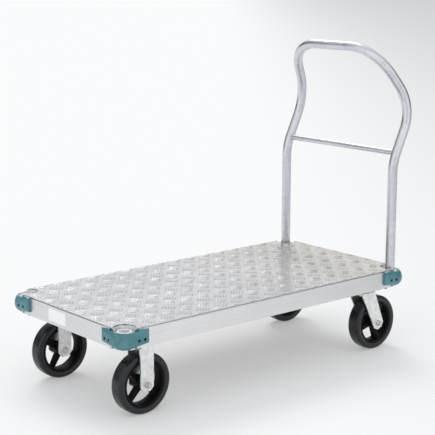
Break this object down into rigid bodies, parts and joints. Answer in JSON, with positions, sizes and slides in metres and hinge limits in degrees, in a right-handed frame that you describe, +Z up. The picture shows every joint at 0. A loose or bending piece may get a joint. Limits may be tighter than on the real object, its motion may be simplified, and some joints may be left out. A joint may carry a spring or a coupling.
{
  "type": "platform truck",
  "caption": "Flatbed platform truck: aluminium tread-plate deck on a railed frame, cast corner sockets, removable bent-tube handle, rigid and swivel casters.",
  "frame": {"origin": "middle of the whole truck's length and width, on the floor", "axes": "+X towards the handle end, +Y to the right of a person who pushes from the handle end, +Z up"},
  "size_m": [1.3424, 0.6486, 1.1269],
  "materials": {
    "tread_plate": "mill finish five-bar tread plate",
    "rail_aluminium": "mill finish extrusion",
    "handle_tube": "satin",
    "teal_casting": "teal enamel",
    "zinc_fork": "bright zinc plate",
    "zinc_hardware": "zinc plate",
    "bearing_steel": "ground",
    "black_screws": "black oxide",
    "black_hub": "black enamel",
    "tyre_rubber": "moulded rubber",
    "white_label": "plain vinyl"
  },
  "bodies": {
    "frame": {"axle_bolt_front_left": "zinc_hardware", "axle_bolt_front_right": "zinc_hardware", "axle_nut_front_left": "zinc_hardware", "axle_nut_front_right": "zinc_hardware", "axle_sleeve_front_left": "bearing_steel", "axle_sleeve_front_right": "bearing_steel", "caster_bolster_front": "rail_aluminium", "caster_bolster_rear": "rail_aluminium", "caster_bolts": "zinc_hardware", "caster_nuts": "zinc_hardware", "casting_clamp_bolts": "black_screws", "casting_screws": "black_screws", "corner_casting_front_left": "teal_casting", "corner_casting_front_right": "teal_casting", "corner_casting_rear_left": "teal_casting", "corner_casting_rear_right": "teal_casting", "cross_member_1": "rail_aluminium", "cross_member_2": "rail_aluminium", "cross_member_3": "rail_aluminium", "deck_plate": "tread_plate", "end_rail_front": "rail_aluminium", "end_rail_rear": "rail_aluminium", "kingpin_nut_rear_left": "zinc_hardware", "kingpin_nut_rear_right": "zinc_hardware", "kingpin_rear_left": "zinc_hardware", "kingpin_rear_right": "zinc_hardware", "mounting_pads": "rail_aluminium", "rating_label": "white_label", "rigid_fork_front_left": "zinc_fork", "rigid_fork_front_right": "zinc_fork", "side_rail_left": "rail_aluminium", "side_rail_right": "rail_aluminium", "swivel_balls_rear_left": "bearing_steel", "swivel_balls_rear_right": "bearing_steel", "swivel_plate_rear_left": "zinc_fork", "swivel_plate_rear_right": "zinc_fork"},
    "handle": {"handle_tube": "handle_tube", "handle_crossbar": "handle_tube"},
    "wheel_front_left": {"tread_front_left": "tyre_rubber", "wheel_hub_front_left": "black_hub", "wheel_rollers_front_left": "bearing_steel"},
    "wheel_front_right": {"tread_front_right": "tyre_rubber", "wheel_hub_front_right": "black_hub", "wheel_rollers_front_right": "bearing_steel"},
    "wheel_rear_left": {"tread_rear_left": "tyre_rubber", "wheel_hub_rear_left": "black_hub", "wheel_rollers_rear_left": "bearing_steel"},
    "swivel_rear_left": {"swivel_fork_rear_left": "zinc_fork", "axle_bolt_rear_left": "zinc_hardware", "axle_nut_rear_left": "zinc_hardware", "axle_sleeve_rear_left": "bearing_steel"},
    "wheel_rear_right": {"tread_rear_right": "tyre_rubber", "wheel_hub_rear_right": "black_hub", "wheel_rollers_rear_right": "bearing_steel"},
    "swivel_rear_right": {"swivel_fork_rear_right": "zinc_fork", "axle_bolt_rear_right": "zinc_hardware", "axle_nut_rear_right": "zinc_hardware", "axle_sleeve_rear_right": "bearing_steel"}
  },
  "joints": [
    {"name": "handle_lift", "type": "slide", "parent": "frame", "child": "handle", "axis": [0, 0, 1], "range_m": [0, 0.0485]},
    {"name": "swivel_turn_rear_left", "type": "hinge", "parent": "frame", "child": "swivel_rear_left", "pos_m": [0.48806, -0.2336, 0.2284], "axis": [0, 0, 1], "continuous": true},
    {"name": "swivel_turn_rear_right", "type": "hinge", "parent": "frame", "child": "swivel_rear_right", "pos_m": [0.48806, 0.2336, 0.2284], "axis": [0, 0, 1], "continuous": true},
    {"name": "wheel_spin_front_left", "type": "hinge", "parent": "frame", "child": "wheel_front_left", "pos_m": [-0.53195, -0.2336, 0.1016], "axis": [0, 1, 0], "continuous": true},
    {"name": "wheel_spin_front_right", "type": "hinge", "parent": "frame", "child": "wheel_front_right", "pos_m": [-0.53195, 0.2336, 0.1016], "axis": [0, 1, 0], "continuous": true},
    {"name": "wheel_spin_rear_left", "type": "hinge", "parent": "swivel_rear_left", "child": "wheel_rear_left", "pos_m": [0.53805, -0.2336, 0.1016], "axis": [0, 1, 0], "continuous": true},
    {"name": "wheel_spin_rear_right", "type": "hinge", "parent": "swivel_rear_right", "child": "wheel_rear_right", "pos_m": [0.53805, 0.2336, 0.1016], "axis": [0, 1, 0], "continuous": true}
  ]
}
